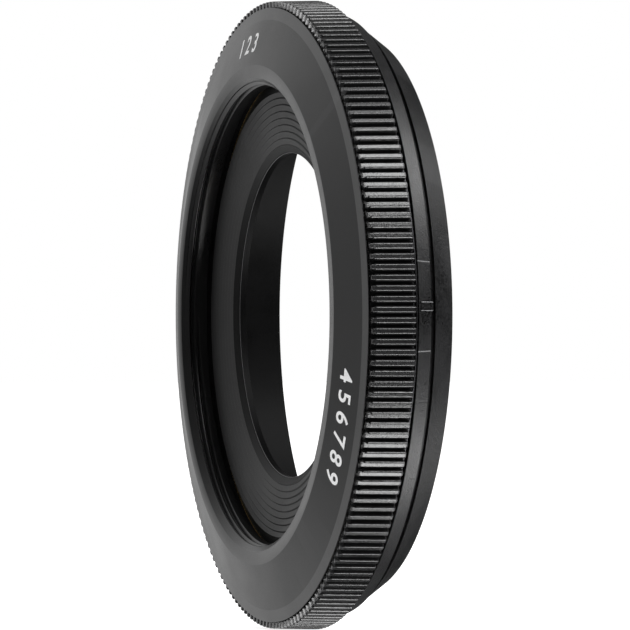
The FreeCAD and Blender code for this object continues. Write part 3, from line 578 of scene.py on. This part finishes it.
# ---------------------------------------------------------------- index ring, scribed lines and bar
JOURNAL = 31.50
INDEX_FRONT, INDEX_REAR, INDEX_OUTER, INDEX_SMALL = 7.58, 9.25, 34.27, 33.50
CAVITY, CAVITY_REAR = 33.10, 8.92
BAR_ANGLE, SCRIBE_ANGLE = 1.6, 8.3      # degrees: the bar, and the lines to either side of it
SCRIBE_WIDTH, SCRIBE_DEPTH, SCRIBE_RADIUS = 0.11, 0.05, 34.0
SCRIBE_STEPS = (-1.6, -1.0, -0.85, -0.3, 0.3, 0.85, 1.0, 1.6)       # columns at a line, in half widths
SCRIBE_CLEAR, SCRIBE_FLOOR = 2.5, 0.9   # half widths kept free of other columns, and half widths of the floor
BAR_START, BAR_OVERHANG = 0.28, 0.26    # from the cone's front edge, and past its rear edge
BAR_HALF, BAR_RISE, BAR_SUNK, BAR_EDGE = 0.525, 0.12, 0.28, 0.10


def cone_radius(depth):
    return INDEX_OUTER - (INDEX_OUTER - INDEX_SMALL) * (depth - INDEX_FRONT) / (INDEX_REAR - INDEX_FRONT)


def index_ring():
    """A cone with two lines sunk in it, whose floors take a lighter finish as a painted highlight."""
    line = rounded([
        (CAVITY, INDEX_FRONT, 0.03), (INDEX_OUTER, INDEX_FRONT, 0.05), (INDEX_SMALL, INDEX_REAR, 0.05),
        (JOURNAL + 0.02, INDEX_REAR, 0.02), (JOURNAL + 0.02, CAVITY_REAR, 0.02),
        (CAVITY, CAVITY_REAR, 0.03)])
    scribed = [math.radians(BAR_ANGLE + side * SCRIBE_ANGLE) % TURN for side in (-1, 1)]
    half = SCRIBE_WIDTH / 2 / SCRIBE_RADIUS
    angles = {TURN * j / SIDES for j in range(SIDES)}
    for centre in scribed:
        angles = {angle for angle in angles if abs(angle - centre) > SCRIBE_CLEAR * half}
        angles |= {centre + step * half for step in SCRIBE_STEPS}
    angles = sorted(angles)

    def in_line(angle):
        return any(abs(angle - centre) < SCRIBE_FLOOR * half for centre in scribed)

    verts, kinds = [], []
    for j, angle in enumerate(angles):
        for r, d in line:
            sunk = in_line(angle) and r > cone_radius(d) - 0.06
            verts.append(place(r - SCRIBE_DEPTH if sunk else r, d, angle))
        middle = (angle + angles[j + 1]) / 2 if j < len(angles) - 1 else 0
        # Faces on the lines' floors take the painted highlight
        for i, (r, d) in enumerate(line):
            on_cone = min(r, line[(i + 1) % len(line)][0]) > INDEX_SMALL - 0.08
            kinds.append(int(in_line(middle) and on_cone))
    make_object("index_cone", verts, grid(len(angles), len(line)), "barrel", ["index_ring"],
                "anodised_black", [blasted, scribe_painted_highlight], kinds)


def bar():
    """Raised bar along the cone, rounded all round, its rear end chamfered over the groove."""
    start = INDEX_FRONT + BAR_START
    length = INDEX_REAR + BAR_OVERHANG - start
    across = [(-BAR_HALF, -BAR_SUNK), (-BAR_HALF, BAR_RISE - BAR_EDGE - 0.02)]
    for step in range(5):
        turn = math.pi / 2 * step / 4
        across.append((-BAR_HALF + BAR_EDGE * (1 - math.cos(turn)),
                       BAR_RISE - BAR_EDGE * (1 - math.sin(turn))))
    across.append((-BAR_HALF + BAR_EDGE + 0.03, BAR_RISE))
    across += [(-w, h) for w, h in reversed(across)]
    # Distance from the front end, and the share of its height that the bar has there
    stations = [(0.0, 0.55), (0.02, 0.80), (0.06, 0.95), (0.10, 1.0), (0.14, 1.0), (0.80, 1.0),
                (length - 0.24, 1.0), (length - 0.20, 0.99), (length - 0.02, 0.60), (length, 0.50)]
    verts = []
    for d, share in stations:
        for w, h in across:
            high = h if h < 0 else h * share - (1 - share) * 0.05
            verts.append(place_aside(cone_radius(start + d) + high, start + d, math.radians(BAR_ANGLE),
                                     w * (0.90 + 0.10 * share)))
    # The two rounded edges take a lighter finish, a painted highlight; the end caps come last
    kinds = [int(3 < i < 6 or 8 < i < 11) for i in range(len(across))] * (len(stations) - 1) + [0, 0]
    make_object("index_mark_bar", verts, grid(len(stations), len(across), closed=False), "barrel",
                ["index_bar"], "anodised_black", [blasted, bar_edge_painted_highlight], kinds)


index_ring()
bar()


# ---------------------------------------------------------------- fixed barrel
REGISTER, INNER_BORE, WEB_INNER, POCKET = 29.40, 28.95, 25.05, 29.05
STEP, TAIL_OUTER, RIM, SEAT_OUTER = 32.25, 32.80, 30.90, 30.30
TAIL_FRONT, LEDGE, WEB_REAR, JOURNAL_FRONT = 10.00, 8.70, 6.00, 2.20
SLIDE_FLOOR, SLIDE_FRONT, SLIDE_REAR = 31.20, 2.75, 6.55
FLEX_OUTER, FLEX_INNER, FLEX_FRONT = 29.85, 29.72, 6.20
WINDOW_HALF, WINDOW_FRONT, WINDOW_REAR = 2.1, 7.20, 8.92
SENSOR_ANGLE, SENSOR_SPREAD, POCKET_ARC = 270, 7.5, 18.0            # degrees
CHANNEL_FRONT, CHANNEL_ARC = 8.50, 4.5  # the second in degrees
TOOL_BORE = 24.0                        # inner radius of the tools, clear of the wall
UNIT_HOLE, UNIT_CIRCLE, UNIT_SCREWS = 0.65, 27.0, (90, 210, 330)    # to the unit behind; the last in degrees


def barrel():
    """The turned barrel with the sensors' pocket and windows, the flex's channel and the screw holes."""
    line = rounded([
        (POCKET, JOURNAL_FRONT, 0.05), (JOURNAL, JOURNAL_FRONT, 0.08), (JOURNAL, SLIDE_FRONT, 0.02),
        (SLIDE_FLOOR, SLIDE_FRONT, 0.02), (SLIDE_FLOOR, SLIDE_REAR, 0.02), (JOURNAL, SLIDE_REAR, 0.02),
        (JOURNAL, INDEX_REAR, 0.02), (STEP, INDEX_REAR, 0.02), (STEP, TAIL_FRONT, 0.03),
        (TAIL_OUTER, TAIL_FRONT, 0.05), (RIM, DEPTH - 0.20, 0.05), (SEAT_OUTER, DEPTH, 0.03),
        (REGISTER, DEPTH, 0.06), (REGISTER, LEDGE, 0.02), (INNER_BORE, LEDGE, 0.04),
        (INNER_BORE, WEB_REAR, 0.04), (WEB_INNER, WEB_REAR, 0.05), (WEB_INNER, FLANGE_REAR, 0.03),
        (POCKET, FLANGE_REAR, 0.03)])
    obj = make_object("barrel_shell", *lathe(line), "barrel", ["rear_barrel"], "barrel_black",
                      [barrel_paint, inner_black], inner_faces(line, REGISTER + HAIR))
    tools = []
    for name, front, rear, half in (("cut_pocket", FLEX_FRONT, WINDOW_REAR, POCKET_ARC),
                                    ("cut_channel", CHANNEL_FRONT, DEPTH + 1, CHANNEL_ARC)):
        tools.append(cutter(name, *sector(TOOL_BORE, FLEX_OUTER, front, rear, SENSOR_ANGLE, half)))
    for side in (-1, 1):
        tools.append(cutter("cut_window", *window(FLEX_INNER, JOURNAL + 1, WINDOW_HALF, WINDOW_FRONT,
                                                  WINDOW_REAR, SENSOR_ANGLE + side * SENSOR_SPREAD)))
    front, rear = FLANGE_REAR - OVER, WEB_REAR + OVER
    tools += screw_holes("cut_clear", CLEARANCE, front, rear)
    tools += [cutter("cut_unit", *axial_hole(UNIT_HOLE, UNIT_CIRCLE, centre, front, rear))
              for centre in UNIT_SCREWS]
    cut(obj, tools)


barrel()


# ---------------------------------------------------------------- CAD nodes that keep their shape
for node, material in {
        "ring_carrier": carrier_black, "encoder_comb": carrier_black, "photo_interrupter_a": sensor_black,
        "photo_interrupter_b": sensor_black, "slide_band": slippery, "slide_washer": slippery,
        "wave_spring": spring_metal, "front_seal": rubber, "play_shim": brass, "sensor_flex": amber,
        "flex_stiffener": plate_metal, "flex_contacts": gold, "stiffener_screws": screw_black,
        "name_ring_screws": screw_black}.items():
    for material_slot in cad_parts[node].material_slots:
        material_slot.material = material


# ---------------------------------------------------------------- room, floor, lamps and card
FILL = 0.60                             # what the room adds on matt surfaces
FLOOR, FLOOR_REACH = -0.03505, 4        # height and half width in metres
FLOOR_TONE, FLOOR_SHARE = (0.79, 0.81), 0.80    # its matt tone, and the white that it shows by itself
LAMP_DISTANCE = 0.8                     # metres
LAMPS = {  # azimuth and elevation in degrees, width and height in metres, brightness
    "rear_top": (86, 31, 0.42, 0.20, 7.5), "rear_low": (86, -31, 0.42, 0.20, 6.6),
    "right_low": (27, -49, 0.30, 0.40, 13.0), "right_high": (27, 49, 0.30, 0.40, 12.2),
    "low_end": (62, -66, 0.30, 0.22, 3.0), "high_end": (62, 66, 0.30, 0.22, 2.4)}
CARD_START, CARD_END, CARD_TOP = -142, 163, 88        # degrees
CARD_COLUMNS, CARD_ROWS = 40, 16
CARD_TONES = ((-142, 1.0), (-127, 0.6), (-92, 0.15), (-50, 0.03), (130, 0.03), (145, 0.05), (155, 0.10),
              (163, 0.26))              # azimuth in degrees, brightness


def staged(name, verts, faces, material):
    """A piece of the stage, its points given in metres."""
    obj = new_object(name, verts, faces, [material], unit=1)
    return obj


def direction(azimuth, elevation):
    azimuth, elevation = math.radians(azimuth), math.radians(elevation)
    return Vector((math.cos(elevation) * math.cos(azimuth), math.cos(elevation) * math.sin(azimuth),
                   math.sin(elevation)))


def room():
    """White to the camera and in gloss, and dimmer as a light."""
    world = bpy.data.worlds.new("studio")
    bpy.context.scene.world = world
    world.use_nodes = True
    nodes = Nodes(world.node_tree)
    shown, dim = (nodes.add("ShaderNodeBackground", {"Color": (1, 1, 1, 1), "Strength": strength}).outputs[0]
                  for strength in (1.0, FILL))
    mixed = nodes.add("ShaderNodeMixShader", {"Fac": nodes.seen(), 1: dim, 2: shown})
    nodes.add("ShaderNodeOutputWorld", {"Surface": mixed.outputs[0]})


def floor():
    """Pale ground that catches light and shows a share of its own white."""
    material, nodes = new_material("pale_floor")
    cloud = nodes.noise(nodes.add("ShaderNodeTexCoord").outputs["Object"], 30.0, 3.0)
    low, high = FLOOR_TONE
    tone = nodes.add("ShaderNodeMapRange", {"Value": cloud, "To Min": low, "To Max": high}).outputs["Result"]
    matt = nodes.add("ShaderNodeBsdfDiffuse", {"Color": tone}).outputs[0]
    share = nodes.calc("MULTIPLY", nodes.seen(), FLOOR_SHARE)
    mixed = nodes.add("ShaderNodeAddShader", {0: matt, 1: nodes.emitter(share)})
    nodes.add("ShaderNodeOutputMaterial", {"Surface": mixed.outputs[0]})
    corners = ((-1, -1), (1, -1), (1, 1), (-1, 1))
    obj = staged("floor", [(x * FLOOR_REACH, y * FLOOR_REACH, FLOOR) for x, y in corners], [(0, 1, 2, 3)],
                 material)
    obj.visible_shadow = False
    obj.visible_glossy = False


def softbox(name, azimuth, elevation, width, height, radiance):
    """An area light that looks at the lens and has a stated brightness."""
    light = bpy.data.lights.new(name, "AREA")
    light.shape = "RECTANGLE"
    light.size, light.size_y = width, height
    light.energy = radiance * math.pi * width * height
    lamp = bpy.data.objects.new(name, light)
    lamp.location = direction(azimuth, elevation) * LAMP_DISTANCE
    lamp.rotation_euler = direction(azimuth, elevation).to_track_quat("Z", "Y").to_euler()
    lamp.visible_camera = False
    bpy.context.scene.collection.objects.link(lamp)


def card():
    """A dark wall that only gloss sees, as a studio sets one for black metal. Its two ends are lighter."""
    material, nodes = new_material("card_grey")
    parts = nodes.add("ShaderNodeSeparateXYZ", {"Vector": nodes.add("ShaderNodeTexCoord").outputs["Object"]})
    around = nodes.calc("ARCTAN2", parts.outputs["Y"], parts.outputs["X"])
    share = nodes.add("ShaderNodeMapRange", {"Value": around, "From Min": -math.pi,
                                             "From Max": math.pi}).outputs["Result"]
    tones = nodes.ramp(share, [((azimuth + 180) / 360, value) for azimuth, value in CARD_TONES])
    nodes.add("ShaderNodeOutputMaterial", {"Surface": nodes.emitter(tones)})
    verts = [tuple(direction(CARD_START + (CARD_END - CARD_START) * i / CARD_COLUMNS,
                             -CARD_TOP + 2 * CARD_TOP * j / CARD_ROWS))
             for i in range(CARD_COLUMNS + 1) for j in range(CARD_ROWS + 1)]
    high = CARD_ROWS + 1
    faces = [(i * high + j, i * high + j + 1, (i + 1) * high + j + 1, (i + 1) * high + j)
             for i in range(CARD_COLUMNS) for j in range(CARD_ROWS)]
    obj = staged("dark_card", verts, faces, material)
    obj.visible_camera = False
    obj.visible_diffuse = False
    obj.visible_shadow = False
    obj.visible_transmission = False


room()
floor()
for name, lamp in LAMPS.items():
    softbox(name, *lamp)
card()


# ---------------------------------------------------------------- camera
TILT, ROLL = math.radians(71.81), math.radians(-0.03)     # between lens axis and line of sight, and about it
VIEW_DISTANCE = 1.15                    # metres
PIXELS, FILM = 630, 36                  # width of the picture, and of the film in millimetres
SCALE, COLUMN = 8992, 253.8             # pixels per metre at the centre of the front face, and its column


def camera():
    """The view of the photo, from the right and a little from the front."""
    focal = SCALE * VIEW_DISTANCE
    centre = Vector((0, -DEPTH * MM, 0))
    toward = Vector((-math.sin(TILT), math.cos(TILT), 0))
    right = Vector((math.cos(TILT), math.sin(TILT), 0))
    swing = math.atan((PIXELS / 2 - COLUMN) / focal)
    look = toward * math.cos(swing) + right * math.sin(swing)
    data = bpy.data.cameras.new("camera")
    data.sensor_width = FILM
    data.lens = focal / PIXELS * FILM
    data.clip_start, data.clip_end = 0.05, 50
    obj = bpy.data.objects.new("camera", data)
    obj.location = centre - toward * VIEW_DISTANCE
    obj.rotation_euler = look.to_track_quat("-Z", "Y").to_euler()
    obj.rotation_euler.rotate_axis("Z", ROLL)
    bpy.context.scene.collection.objects.link(obj)
    bpy.context.scene.camera = obj


camera()
bpy.context.scene.view_settings.view_transform = "Standard"
